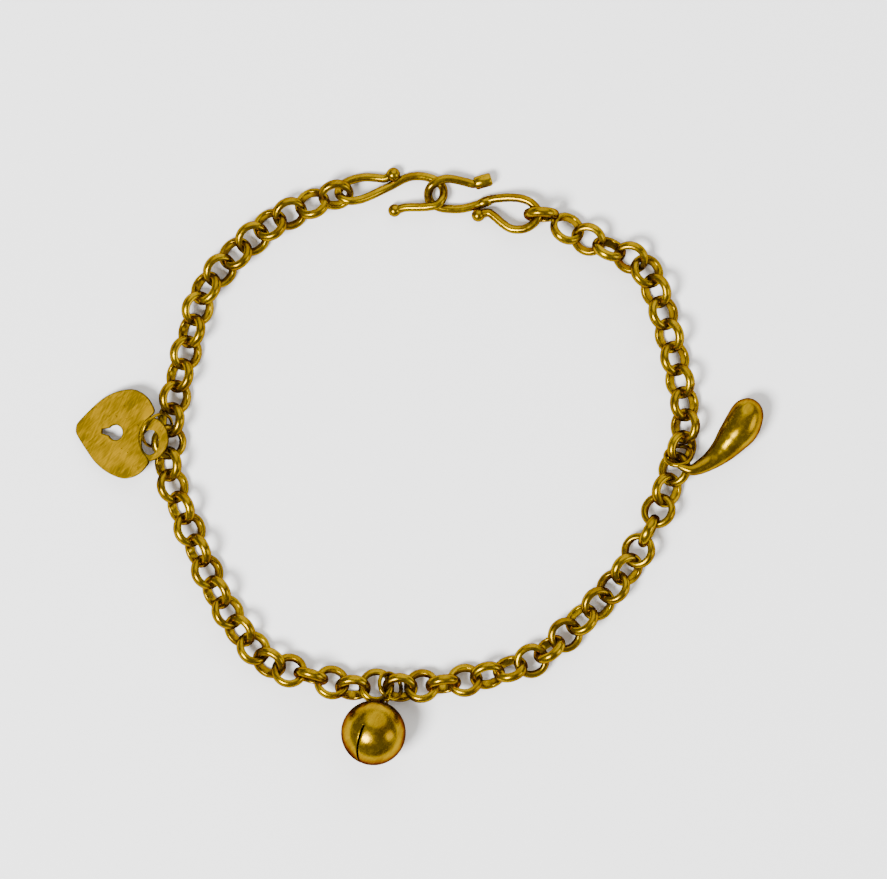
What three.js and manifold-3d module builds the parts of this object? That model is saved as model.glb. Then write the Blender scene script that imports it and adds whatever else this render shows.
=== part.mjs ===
// Charm bracelet, lying flat on a table: a belcher chain whose two ends are joined by a pair of
// interlocked S hooks, with a heart, a jingle bell and a curved drop hanging from it.
// Millimetres, +Z up. The loop lies in XY with the clasp at +Y, and everything rests on z = 0.

import * as THREE from 'three';
import { mergeVertices } from 'three/addons/utils/BufferGeometryUtils.js';
import Module from 'manifold-3d';

const wasm = await Module();
wasm.setup();

// Chain links, rings of half round wire with the flat face inside
const linkDiameter = 4.05;
const linkWireThickness = 0.75;
const linkWireWidth = 1.12;
const linkPitch = 2.52;
const linkSag = 0.3; // how much lower a link may hang than the next one
const shoulderShare = 0.62; // how far up the half round wire its shoulders are
const shoulderWidth = 0.84; // how wide it is there, as a share of its flat face

// S hooks of the clasp
const hookWire = 0.96;
const leftHookLength = 11.81;
const rightHookLength = 12.64;
const hookWidth = 4.0;
const bendOverlap = 0.88; // how far each bend reaches past the middle of the clasp
const crossingGap = 0.09;
const threadGap = 0.46;
const knobDiameter = 1.45;
const eyeKnobDiameter = 1.6;
const curlDiameter = 1.5;
const blockLength = 1.95;
const blockDiameter = 1.6;
const collarLength = 1.3;
const collarDiameter = 1.2;

// Jump rings of round wire
const heartRingWire = 0.34;
const heartRingDiameter = 4.3;
const bellRingWire = 0.46;
const bellRingDiameter = 3.46;

// Heart, a flat plate with a keyhole and a thinner tab pierced for its ring
const heartLength = 8.9;
const heartWidth = 10.1;
const heartThickness = 0.5;
const notchDepth = 1.4;
const keyholePlace = 4.65;
const keyholeDiameter = 1.7;
const keyholeReach = 1.6;
const keyholeEnd = 0.5;
const keyholeShoulder = 0.71; // half the slot's width where it leaves the round hole
const tabReach = 2.0; // how far the tab's edge stands past the heart's corners
const tabDiameter = 5.1;
const tabThickness = 0.36;
const tabOffset = 0.32;
const tabHoleSetback = 2.1; // from the tab's edge to the middle of its hole
const tabHoleLength = 2.8;
const tabHoleWidth = 2.05;
const tabHoleOffset = 0.66;
const restGap = 0.09;
const ringPastHole = { along: 0.55, across: 1.44 }; // the ring's middle from the hole's

// Bell, a hollow ball with one slit and a soldered loop
const bellDiameter = 7.3;
const bellWall = 0.35;
const bellSlit = 0.27;
const bellLoopDiameter = 1.42;
const bellLoopWire = 0.27;
const bellLoopSeat = 0.1; // how deep the loop sinks into the ball
const bellLoopSlack = 0.05; // the ring's wire hangs this much off the loop's middle

// Drop, drawn out into a wire that closes in a loop
const dropDiameter = 4.12;
const dropLoopDiameter = 3.52;
const dropLoopWire = 0.52;

const meshTolerance = 0.03; // edges shorter than this are merged where links meet

// How finely round shapes are cut into flats
const linkSides = 12;
const wireSides = 7;
const ringSides = 6;
const ringSteps = 22;
const loopSteps = 14;
const leftHookSteps = 48;
const rightHookSteps = 52;
const holeSides = 20;
const tabSides = 24;
const dropSides = 16;
const dropStations = 200;

const degree = Math.PI / 180;
const up = new THREE.Vector3(0, 0, 1);

// Where the clasp's crossed bends lie, and the way each hook points from there
const claspPlace = { x: 1.83, y: 30.69 };
const leftHookAngle = 179.7;
const rightHookAngle = -10.5;

// The way the heart and the bell point in plan
const heartAngle = -6.3;
const bellAngle = 66;
const bellTurn = 22;

// The chain's way round, as chosen points: the link that lies there, counted from the left hook
// in a chain of routeLinks, and its place. The two end links follow from the hooks.
const routeLinks = 63;
const routePoints = [
  { link: 3, x: -14.6, y: 28.5 },
  { link: 5, x: -18.8, y: 25.7 },
  { link: 8, x: -24.0, y: 20.1 },
  { link: 10, x: -25.6, y: 15.3 },
  { link: 13, x: -27.5, y: 7.8 },
  { link: 15, x: -28.2, y: 2.8 },
  { link: 16.5, x: -28.1, y: -0.9 },
  { link: 18, x: -26.8, y: -4.6 },
  { link: 20, x: -24.9, y: -9.4 },
  { link: 22, x: -22.8, y: -14.1 },
  { link: 24, x: -20.2, y: -18.4 },
  { link: 26, x: -16.9, y: -22.0 },
  { link: 28, x: -12.2, y: -23.5 },
  { link: 30, x: -7.5, y: -24.8 },
  { link: 31, x: -4.85, y: -24.65 },
  { link: 32, x: -2.2, y: -24.8 },
  { link: 35, x: 5.1, y: -24.0 },
  { link: 38, x: 12.6, y: -21.8 },
  { link: 40, x: 16.4, y: -18.9 },
  { link: 43, x: 21.8, y: -13.5 },
  { link: 45, x: 24.6, y: -9.4 },
  { link: 48, x: 27.8, y: -2.6 },
  { link: 51, x: 29.9, y: 4.6 },
  { link: 54, x: 28.7, y: 12.2 },
  { link: 57, x: 26.6, y: 19.8 },
  { link: 58.5, x: 24.8, y: 22.9 },
  { link: 60, x: 21.3, y: 24.5 },
  { link: 62, x: 16.6, y: 26.8 },
];

// How far the links lean from lying flat, in degrees. Links lean by turns: one has its side
// away from the loop's middle raised, the next its inner side.
const leanRows = [
  { link: 1, outerRaised: 42, innerRaised: 40 },
  { link: 4, outerRaised: 28, innerRaised: 36 },
  { link: 6, outerRaised: 28, innerRaised: 36 },
  { link: 9, outerRaised: 35, innerRaised: 50 },
  { link: 13, outerRaised: 34, innerRaised: 47 },
  { link: 15, outerRaised: 15, innerRaised: 47 },
  { link: 17, outerRaised: 36, innerRaised: 48 },
  { link: 20, outerRaised: 33, innerRaised: 55 },
  { link: 24, outerRaised: 38, innerRaised: 43 },
  { link: 26, outerRaised: 26, innerRaised: 42 },
  { link: 28, outerRaised: 20, innerRaised: 78 },
  { link: 30, outerRaised: 30, innerRaised: 52 },
  { link: 31, outerRaised: 12, innerRaised: 47 },
  { link: 32, outerRaised: 34, innerRaised: 42 },
  { link: 34, outerRaised: 18, innerRaised: 68 },
  { link: 36, outerRaised: 40, innerRaised: 46 },
  { link: 38, outerRaised: 70, innerRaised: 15 },
  { link: 40, outerRaised: 56, innerRaised: 17 },
  { link: 42, outerRaised: 36, innerRaised: 30 },
  { link: 44, outerRaised: 28, innerRaised: 40 },
  { link: 46, outerRaised: 18, innerRaised: 84 },
  { link: 48, outerRaised: 28, innerRaised: 40 },
  { link: 51, outerRaised: 44, innerRaised: 43 },
  { link: 56, outerRaised: 45, innerRaised: 40 },
  { link: 58, outerRaised: 40, innerRaised: 34 },
  { link: 60, outerRaised: 25, innerRaised: 60 },
  { link: 61, outerRaised: 32, innerRaised: 50 },
  { link: 63, outerRaised: 80, innerRaised: 24 },
];

// The wire of each hook from its free end round the clasp's bend to its eye. along runs from the
// bend to the eye in shares of the hook's length, across in shares of its width, crossing tells
// how far the wire is lifted over the other hook, and eye how far it is raised to the end link.
const leftHookRows = [
  { along: 0.467, across: -0.46, crossing: 0.3, eye: 0 },
  { along: 0.367, across: -0.38, crossing: 0.45, eye: 0 },
  { along: 0.214, across: -0.37, crossing: 0.75, eye: 0 },
  { along: 0.129, across: -0.35, crossing: 0.93, eye: 0 },
  { along: 0.062, across: -0.3, crossing: 1, eye: 0 },
  { along: 0.019, across: -0.17, crossing: 0.9, eye: 0 },
  { along: 0.0, across: 0.0, crossing: 0.45, eye: 0 },
  { along: 0.01, across: 0.2, crossing: 0.08, eye: 0 },
  { along: 0.052, across: 0.35, crossing: 0, eye: 0 },
  { along: 0.119, across: 0.45, crossing: 0, eye: 0 },
  { along: 0.214, across: 0.51, crossing: 0, eye: 0 },
  { along: 0.319, across: 0.49, crossing: 0, eye: 0 },
  { along: 0.414, across: 0.38, crossing: 0, eye: 0 },
  { along: 0.49, across: 0.25, crossing: 0, eye: 0.05 },
  { along: 0.586, across: 0.11, crossing: 0, eye: 0.3 },
  { along: 0.7, across: -0.06, crossing: 0, eye: 0.8 },
  { along: 0.795, across: -0.17, crossing: 0, eye: 1.3 },
  { along: 0.89, across: -0.21, crossing: 0, eye: 1.66 },
  { along: 0.966, across: -0.13, crossing: 0, eye: 1.5 },
  { along: 1.0, across: 0.01, crossing: 0, eye: 0.96 },
  { along: 0.992, across: 0.14, crossing: 0, eye: 0.45 },
  { along: 0.95, across: 0.28, crossing: 0, eye: 0.12 },
  { along: 0.871, across: 0.4, crossing: 0, eye: 0.02 },
  { along: 0.757, across: 0.47, crossing: 0, eye: 0 },
  { along: 0.652, across: 0.46, crossing: 0, eye: 0.02 },
  { along: 0.56, across: 0.44, crossing: 0, eye: 0.12 },
  { along: 0.481, across: 0.55, crossing: 0, eye: 0.3 },
];
const rightHookRows = [
  { along: 0.463, across: 0.6, crossing: 0.5, eye: 0 },
  { along: 0.388, across: 0.48, crossing: 0.5, eye: 0 },
  { along: 0.306, across: 0.49, crossing: 0.6, eye: 0 },
  { along: 0.201, across: 0.5, crossing: 0.82, eye: 0 },
  { along: 0.126, across: 0.47, crossing: 0.96, eye: 0 },
  { along: 0.069, across: 0.37, crossing: 1, eye: 0 },
  { along: 0.016, across: 0.2, crossing: 0.9, eye: 0 },
  { along: 0.0, across: 0.0, crossing: 0.45, eye: 0 },
  { along: 0.019, across: -0.18, crossing: 0.08, eye: 0 },
  { along: 0.057, across: -0.28, crossing: 0, eye: 0 },
  { along: 0.12, across: -0.34, crossing: 0, eye: 0 },
  { along: 0.192, across: -0.34, crossing: 0, eye: 0 },
  { along: 0.315, across: -0.27, crossing: 0, eye: 0 },
  { along: 0.431, across: -0.11, crossing: 0, eye: 0.04 },
  { along: 0.513, across: 0.04, crossing: 0, eye: 0.15 },
  { along: 0.57, across: 0.15, crossing: 0, eye: 0.26 },
  { along: 0.639, across: 0.22, crossing: 0, eye: 0.4 },
  { along: 0.734, across: 0.29, crossing: 0, eye: 0.6 },
  { along: 0.832, across: 0.31, crossing: 0, eye: 0.78 },
  { along: 0.908, across: 0.26, crossing: 0, eye: 0.9 },
  { along: 0.97, across: 0.13, crossing: 0, eye: 0.98 },
  { along: 1.0, across: 0.0, crossing: 0, eye: 1 },
  { along: 0.996, across: -0.18, crossing: 0, eye: 1 },
  { along: 0.962, across: -0.36, crossing: 0, eye: 0.96 },
  { along: 0.907, across: -0.5, crossing: 0, eye: 0.88 },
  { along: 0.829, across: -0.57, crossing: 0, eye: 0.76 },
  { along: 0.766, across: -0.56, crossing: 0, eye: 0.66 },
  { along: 0.696, across: -0.46, crossing: 0, eye: 0.54 },
  { along: 0.615, across: -0.31, crossing: 0, eye: 0.4 },
  { along: 0.556, across: -0.24, crossing: 0, eye: 0.3 },
  { along: 0.475, across: -0.36, crossing: 0, eye: 0.25 },
];

// One side of the heart from its tip to the corner of its notch, in shares of its length and of
// half its width, then the notch in shares of its depth and of half the heart's width
const heartSide = [
  { along: 0.0, across: 0.08 },
  { along: 0.03, across: 0.17 },
  { along: 0.14, across: 0.41 },
  { along: 0.3, across: 0.71 },
  { along: 0.47, across: 0.9 },
  { along: 0.67, across: 1.0 },
  { along: 0.79, across: 0.96 },
  { along: 0.88, across: 0.87 },
  { along: 0.95, across: 0.74 },
  { along: 1.0, across: 0.55 },
];
const heartNotch = [
  { depth: 0.62, across: 0.34 },
  { depth: 0.9, across: 0.18 },
  { depth: 1.0, across: 0.0 },
];

// The drop's thickness from its round end to its loop, in shares of its length and half thickness
const dropRows = [
  { along: 0.012, radius: 0.36 },
  { along: 0.045, radius: 0.64 },
  { along: 0.09, radius: 0.83 },
  { along: 0.16, radius: 0.95 },
  { along: 0.28, radius: 1.0 },
  { along: 0.41, radius: 0.87 },
  { along: 0.55, radius: 0.67 },
  { along: 0.69, radius: 0.49 },
  { along: 0.82, radius: 0.36 },
  { along: 0.91, radius: 0.23 },
  { along: 0.985, radius: 0.135 },
];

// The drop's middle line in plan from its round end towards its loop, as chosen points, with the
// share of the climb from the table to the loop
const dropLine = [
  { x: 37.6, y: 7.61, climb: 0 },
  { x: 36.84, y: 5.96, climb: 0 },
  { x: 36.17, y: 4.5, climb: 0 },
  { x: 35.19, y: 3.23, climb: 0 },
  { x: 34.12, y: 1.94, climb: 0.06 },
  { x: 32.75, y: 0.75, climb: 0.32 },
  { x: 31.39, y: -0.06, climb: 0.78 },
  { x: 30.34, y: -0.32, climb: 1.08 },
];

const gold = new THREE.MeshStandardMaterial({ color: 0xb8901c, roughness: 0.22, metalness: 1 });
const brushedGold = new THREE.MeshStandardMaterial({ color: 0xb08a1e, roughness: 0.42, metalness: 1 });

function solid(geometry) {
  const bare = geometry.clone();
  bare.deleteAttribute('normal');
  bare.deleteAttribute('uv');
  const merged = mergeVertices(bare, 1e-5);
  const vertProperties = new Float32Array(merged.attributes.position.array);
  const triVerts = new Uint32Array(merged.index.array);
  return new wasm.Manifold(new wasm.Mesh({ numProp: 3, vertProperties, triVerts }));
}

function namedMesh(name, body, material) {
  const { vertProperties, triVerts } = body.getMesh();
  const geometry = new THREE.BufferGeometry();
  geometry.setAttribute('position', new THREE.BufferAttribute(vertProperties, 3));
  geometry.setIndex(new THREE.BufferAttribute(triVerts, 1));
  geometry.computeVertexNormals();
  const mesh = new THREE.Mesh(geometry, material);
  mesh.name = name;
  return mesh;
}

// A polygon of the given number of sides round the origin
function polygon(radius, sides) {
  const corner = (i) => {
    const turn = (2 * Math.PI * i) / sides;
    return new THREE.Vector2(radius * Math.cos(turn), radius * Math.sin(turn));
  };
  return Array.from({ length: sides }, (_, i) => corner(i));
}

function roundWire(points, diameter, steps, sides = wireSides) {
  const path = new THREE.CatmullRomCurve3(points);
  const section = new THREE.Shape(polygon(diameter / 2, sides));
  return new THREE.ExtrudeGeometry(section, { steps, extrudePath: path, bevelEnabled: false });
}

function ball(diameter, centre, segments = 10, rows = 7) {
  const sphere = new THREE.SphereGeometry(diameter / 2, segments, rows);
  return sphere.translate(centre.x, centre.y, centre.z);
}

// Moves a shape from its own axes to the named place, with its Z axis along the normal
function placed(geometry, centre, normal) {
  const turn = new THREE.Quaternion().setFromUnitVectors(up, normal);
  return geometry.applyQuaternion(turn).translate(centre.x, centre.y, centre.z);
}

// Value of a table at a place along it: a cubic between rows, with slopes taken across each row
function smoothAt(rows, key, at) {
  const slope = (i) => {
    const before = rows[Math.max(i - 1, 0)];
    const after = rows[Math.min(i + 1, rows.length - 1)];
    return (after[key] - before[key]) / (after.link - before.link);
  };
  let i = rows.findIndex((row) => row.link > at) - 1;
  if (i < 0) i = rows.length - 2;
  const span = rows[i + 1].link - rows[i].link;
  const t = (at - rows[i].link) / span;
  return (
    (2 * t ** 3 - 3 * t ** 2 + 1) * rows[i][key] +
    (t ** 3 - 2 * t ** 2 + t) * span * slope(i) +
    (3 * t ** 2 - 2 * t ** 3) * rows[i + 1][key] +
    (t ** 3 - t ** 2) * span * slope(i + 1)
  );
}

function straightAt(rows, key, at) {
  const next = Math.max(rows.findIndex((row) => row.link >= at), 1);
  const from = rows[next - 1];
  const to = rows[next];
  return from[key] + ((at - from.link) / (to.link - from.link)) * (to[key] - from[key]);
}

const linkOuter = linkDiameter / 2;
const linkInner = linkOuter - linkWireThickness;

function hookAxes(length, angle, eye) {
  const along = new THREE.Vector3(Math.cos(angle * degree), Math.sin(angle * degree), 0);
  const across = up.clone().cross(along);
  if (across.y < 0) across.negate();
  return { length, along, across, eye };
}

// With the middle of each eye's opening, in shares of the hook's length and width
const leftAxes = hookAxes(leftHookLength, leftHookAngle, { along: 0.75, across: 0.15 });
const rightAxes = hookAxes(rightHookLength, rightHookAngle, { along: 0.8, across: -0.14 });

// The outermost point of a hook's bend, and of its eye where the wire lies in the end link
function bendEnd(axes) {
  const middle = new THREE.Vector3(claspPlace.x, claspPlace.y, 0);
  return middle.addScaledVector(axes.along, -bendOverlap);
}

function eyeEnd(axes) {
  return bendEnd(axes).addScaledVector(axes.along, axes.length);
}

// An end link points to the middle of the eye that holds it
function eyeMiddle(axes) {
  const middle = bendEnd(axes).addScaledVector(axes.along, axes.eye.along * axes.length);
  return middle.addScaledVector(axes.across, axes.eye.across * hookWidth);
}

// An end link hangs on the eye: its hole's rim stands off the wire by the thread gap
const endLinkReach = linkInner - hookWire / 2 - threadGap;
function endLink(axes, neighbour) {
  const eye = eyeEnd(axes);
  const away = new THREE.Vector3(neighbour.x - eye.x, neighbour.y - eye.y, 0).normalize();
  return eye.addScaledVector(away, endLinkReach);
}

const firstLink = endLink(leftAxes, routePoints[0]);
const lastLink = endLink(rightAxes, routePoints[routePoints.length - 1]);
const route = [
  { link: 1, x: firstLink.x, y: firstLink.y },
  ...routePoints,
  { link: routeLinks, x: lastLink.x, y: lastLink.y },
];

// The chain has as many links as its pitch fits into the way round
function routeLength() {
  const spot = (at) => new THREE.Vector2(smoothAt(route, 'x', at), smoothAt(route, 'y', at));
  const spots = 4 * routeLinks;
  const stations = Array.from({ length: spots }, (_, i) => 1 + ((routeLinks - 1) * i) / (spots - 1));
  return stations.slice(1).reduce((sum, at, i) => sum + spot(at).distanceTo(spot(stations[i])), 0);
}

const linkCount = 1 + 2 * Math.round(routeLength() / linkPitch / 2);
const countedLink = (i) => 1 + ((routeLinks - 1) * i) / (linkCount - 1);

// Height at which a leaning link's lowest rim just touches the table
function restingHeight(lean) {
  const shoulder = linkInner + shoulderShare * linkWireThickness;
  const low = (reach, halfWidth) => reach * Math.sin(lean) + halfWidth * Math.cos(lean);
  const shoulderLow = low(shoulder, (shoulderWidth * linkWireWidth) / 2);
  return Math.max(low(linkOuter, 0), shoulderLow, low(linkInner, linkWireWidth / 2));
}

function placeLinks() {
  const links = Array.from({ length: linkCount }, (_, i) => {
    const at = countedLink(i);
    const outerRaised = i % 2 === 0;
    const lean = straightAt(leanRows, outerRaised ? 'outerRaised' : 'innerRaised', at) * degree;
    const side = outerRaised ? 1 : -1;
    return { x: smoothAt(route, 'x', at), y: smoothAt(route, 'y', at), lean, side };
  });
  const lifted = (link, away) => restingHeight(link.lean) - linkSag * Math.abs(away);
  const held = (i) => Math.max(...links.map((link, j) => lifted(link, i - j)));
  const centres = links.map((link, i) => new THREE.Vector3(link.x, link.y, held(i)));
  const beforeFirst = eyeMiddle(leftAxes).setZ(centres[0].z);
  const afterLast = eyeMiddle(rightAxes).setZ(centres[linkCount - 1].z);
  return links.map((link, i) => {
    const ahead = i === linkCount - 1 ? afterLast : centres[i === 0 ? 0 : i + 1];
    const behind = i === 0 ? beforeFirst : centres[i === linkCount - 1 ? i : i - 1];
    const along = ahead.clone().sub(behind).normalize();
    const outward = along.clone().cross(up).normalize();
    const rise = outward.clone().cross(along);
    const across = outward.multiplyScalar(Math.cos(link.lean));
    across.addScaledVector(rise, link.side * Math.sin(link.lean));
    const normal = along.clone().cross(across);
    return { centre: centres[i], along, across, normal, lean: link.lean };
  });
}

const links = placeLinks();

// A link of the real chain's number, or the nearest that leans the same way
function linkNumber(counted) {
  const evenly = ((counted - 1) / (routeLinks - 1)) * (linkCount - 1);
  const odd = (counted - 1) % 2;
  return links[2 * Math.round((evenly - odd) / 2) + odd];
}

function point(link, offset) {
  return link.centre.clone()
    .addScaledVector(link.along, offset.along)
    .addScaledVector(link.across, offset.across)
    .addScaledVector(link.normal, offset.normal);
}

function direction(link, offset) {
  return point(link, offset).sub(link.centre).normalize();
}

// One link: its half round section turned about the ring's axis
function linkShape() {
  const half = linkWireWidth / 2;
  const shoulder = linkInner + shoulderShare * linkWireThickness;
  const section = [
    new THREE.Vector2(linkInner, -half),
    new THREE.Vector2(shoulder, -shoulderWidth * half),
    new THREE.Vector2(linkOuter, 0),
    new THREE.Vector2(shoulder, shoulderWidth * half),
    new THREE.Vector2(linkInner, half),
    new THREE.Vector2(linkInner, -half),
  ];
  return new THREE.LatheGeometry(section, linkSides).rotateX(Math.PI / 2);
}

// Links press into one another where they meet, and the tiny hollows shut in there are filled
function chain() {
  const shape = linkShape();
  const bodies = links.map((link) => {
    const axes = new THREE.Matrix4().makeBasis(link.along, link.across, link.normal);
    axes.setPosition(link.centre);
    return solid(shape.clone().applyMatrix4(axes));
  });
  const joined = bodies.reduce((whole, body) => whole.add(body)).simplify(meshTolerance);
  return joined.decompose().sort((one, other) => other.volume() - one.volume())[0];
}

// The wire of a hook rests on the table, rises over the other hook and up to its end link
const lowLevel = hookWire / 2;
const crossingRise = hookWire + crossingGap;
function hookPoint(axes, row, eyeRise) {
  const place = bendEnd(axes);
  place.addScaledVector(axes.along, row.along * axes.length);
  place.addScaledVector(axes.across, row.across * hookWidth);
  place.z = lowLevel + row.crossing * crossingRise + row.eye * eyeRise;
  return place;
}

const leftEyeRise = links[0].centre.z - lowLevel;
const eyeDrop = 0.05; // the right eye lies this much below the middle of its upright end link
const rightEyeRise = links[linkCount - 1].centre.z - lowLevel - eyeDrop;

function onTable(place, diameter) {
  return place.clone().setZ(Math.max(place.z, diameter / 2));
}

function leftHook() {
  const points = leftHookRows.map((row) => hookPoint(leftAxes, row, leftEyeRise));
  const wire = solid(roundWire(points, hookWire, leftHookSteps));
  const freeEnd = solid(ball(knobDiameter, onTable(points[0], knobDiameter)));
  const eyeEndPlace = onTable(points[points.length - 1], eyeKnobDiameter);
  const eyeEndKnob = solid(ball(eyeKnobDiameter, eyeEndPlace));
  return wire.add(freeEnd).add(eyeEndKnob);
}

// An eight sided block whose axis points from one place to the other
function facetedBlock(diameter, length, place, from, to) {
  const half = diameter / 2;
  const block = new THREE.CylinderGeometry(half, half, length, 8, 1, false, Math.PI / 8);
  const heading = to.clone().sub(from).setZ(0).normalize();
  block.applyQuaternion(new THREE.Quaternion().setFromUnitVectors(new THREE.Vector3(0, 1, 0), heading));
  const seat = onTable(place, diameter);
  return solid(block.translate(seat.x, seat.y, seat.z));
}

function rightHook() {
  const points = rightHookRows.map((row) => hookPoint(rightAxes, row, rightEyeRise));
  const wire = solid(roundWire(points, hookWire, rightHookSteps));
  const block = facetedBlock(blockDiameter, blockLength, points[0], points[1], points[0]);
  const neck = rightHookRows.findIndex((row) => row.eye > 0) + 1;
  const [before, middle, after] = points.slice(neck - 1, neck + 2);
  const collar = facetedBlock(collarDiameter, collarLength, middle, before, after);
  const curl = solid(ball(curlDiameter, onTable(points[points.length - 1], curlDiameter)));
  return wire.add(block).add(collar).add(curl);
}

// Rings and loops, each given by where its middle and its axis lie in the link it is threaded on
const heartRingHold = {
  link: linkNumber(14),
  middle: { along: 1.363, across: 0.853, normal: -1.073 },
  axis: { along: 0.32, across: -0.947, normal: 0.006 },
};
const bellRingHold = {
  link: linkNumber(32),
  middle: { along: -1.04, across: -0.66, normal: -0.42 },
  axis: { along: 0.63, across: -0.71, normal: -0.32 },
};
const dropLoopHold = {
  link: linkNumber(50),
  middle: { along: -0.91, across: -0.47, normal: -0.3 },
  axis: { along: 0.67, across: -0.68, normal: -0.3 },
};

function roundRing(diameter, wire, middle, axis, steps) {
  const ring = new THREE.TorusGeometry((diameter - wire) / 2, wire / 2, ringSides, steps);
  return solid(placed(ring, middle, axis));
}

function heldRing(hold, diameter, wire) {
  return roundRing(diameter, wire, point(hold.link, hold.middle), direction(hold.link, hold.axis), ringSteps);
}

// The point of a held ring's wire that lies farthest the given way
function ringPoint(hold, diameter, wire, way) {
  const axis = direction(hold.link, hold.axis);
  const spoke = way.clone().projectOnPlane(axis).normalize();
  return point(hold.link, hold.middle).addScaledVector(spoke, (diameter - wire) / 2);
}

// The heart lies flat in its own axes, its tip at the origin, and leans on the chain
const restLink = 15;
const restReach = linkInner + linkWireThickness / 2;
const restDepth = 0.46 * linkWireWidth; // the half round face where the heart touches it
const restSpot = { along: 0, across: restReach, normal: -restDepth };
const supportPoint = point(linkNumber(restLink), restSpot);
const heartHeading = new THREE.Vector3(Math.cos(heartAngle * degree), Math.sin(heartAngle * degree), 0);
const heartAside = up.clone().cross(heartHeading);
const tabPlace = heartLength + tabReach - tabDiameter / 2;
const tabHolePlace = heartLength + tabReach - tabHoleSetback;
const hole = point(heartRingHold.link, heartRingHold.middle).setZ(0);
hole.addScaledVector(heartHeading, -ringPastHole.along).addScaledVector(heartAside, -ringPastHole.across);
const supportPastHole = supportPoint.clone().sub(hole).dot(heartHeading);
let heartTilt = 0;
for (let step = 0; step < 8; step += 1) {
  const supportReach = tabHolePlace * Math.cos(heartTilt) + supportPastHole;
  heartTilt = Math.atan2(supportPoint.z + restGap, supportReach);
}
const tip = hole.clone().addScaledVector(heartHeading, -tabHolePlace * Math.cos(heartTilt));
tip.addScaledVector(heartAside, tabHoleOffset);

function heart() {
  const corner = (along, across) => new THREE.Vector2(along, (across * heartWidth) / 2);
  const side = heartSide.map((row) => corner(row.along * heartLength, row.across));
  const notch = heartNotch.map((row) => corner(heartLength - row.depth * notchDepth, row.across));
  const upper = [...side, ...notch];
  const mirrored = upper.slice(0, -1).reverse();
  const lower = mirrored.map((spot) => new THREE.Vector2(spot.x, -spot.y));
  const outline = new THREE.Shape([...upper, ...lower]);
  const plate = solid(new THREE.ExtrudeGeometry(outline, { depth: heartThickness, bevelEnabled: false }));
  const rim = polygon(tabDiameter / 2, tabSides);
  const disc = new THREE.Shape(rim.map((spot) => spot.add({ x: tabPlace, y: -tabOffset })));
  const tab = solid(new THREE.ExtrudeGeometry(disc, { depth: tabThickness, bevelEnabled: false }));
  const cutDepth = 4 * heartThickness;
  const eyelet = new THREE.CylinderGeometry(1, 1, cutDepth, holeSides).rotateX(Math.PI / 2);
  eyelet.scale(tabHoleWidth / 2, tabHoleLength / 2, 1).translate(tabHolePlace, -tabHoleOffset, 0);
  const holeRadius = keyholeDiameter / 2;
  const round = new THREE.CylinderGeometry(holeRadius, holeRadius, cutDepth, holeSides);
  round.rotateX(Math.PI / 2).translate(keyholePlace, 0, 0);
  const slotEnd = keyholePlace - keyholeReach;
  const slot = new THREE.Shape([
    new THREE.Vector2(keyholePlace, keyholeShoulder),
    new THREE.Vector2(slotEnd, keyholeEnd / 2),
    new THREE.Vector2(slotEnd, -keyholeEnd / 2),
    new THREE.Vector2(keyholePlace, -keyholeShoulder),
  ]);
  const slotCut = new THREE.ExtrudeGeometry(slot, { depth: cutDepth, bevelEnabled: false });
  slotCut.translate(0, 0, -cutDepth / 2);
  const body = plate.add(tab).subtract(solid(eyelet)).subtract(solid(round)).subtract(solid(slotCut));
  const lean = new THREE.Matrix4().makeRotationY(-heartTilt);
  const turn = new THREE.Matrix4().makeRotationZ(heartAngle * degree);
  const seat = new THREE.Matrix4().makeTranslation(tip.x, tip.y, tip.z);
  return body.transform(seat.multiply(turn).multiply(lean).elements);
}

// The bell rests on the table, and its loop takes the far side of the bell's ring
function bell() {
  const inPlan = new THREE.Vector3(Math.cos(bellAngle * degree), Math.sin(bellAngle * degree), 0);
  const hanging = ringPoint(bellRingHold, bellRingDiameter, bellRingWire, inPlan.clone().negate());
  const loopReach = bellDiameter / 2 + bellLoopDiameter / 2 - bellLoopSeat;
  const loopMiddle = hanging.clone().addScaledVector(inPlan, -bellLoopSlack);
  loopMiddle.z += bellLoopSlack;
  const dip = bellDiameter / 2 - loopMiddle.z;
  const level = Math.sqrt(loopReach ** 2 - dip ** 2);
  const middle = loopMiddle.clone().addScaledVector(inPlan, -level).setZ(bellDiameter / 2);
  const axis = loopMiddle.clone().sub(middle).normalize();
  const sideways = axis.clone().cross(up).normalize();
  const slitNormal = sideways.clone().applyAxisAngle(axis, -bellTurn * degree);
  const outer = solid(new THREE.SphereGeometry(bellDiameter / 2, 22, 14));
  const hollow = solid(new THREE.SphereGeometry(bellDiameter / 2 - bellWall, 16, 10));
  const cut = new THREE.BoxGeometry(bellSlit, bellDiameter, 2 * bellDiameter);
  cut.translate(0, -bellDiameter / 2, 0);
  const shell = outer.subtract(hollow).subtract(solid(cut));
  const axes = new THREE.Matrix4().makeBasis(slitNormal, axis, slitNormal.clone().cross(axis));
  const loop = roundRing(bellLoopDiameter, bellLoopWire, loopMiddle, sideways, loopSteps);
  return shell.transform(axes.setPosition(middle).elements).add(loop);
}

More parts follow.
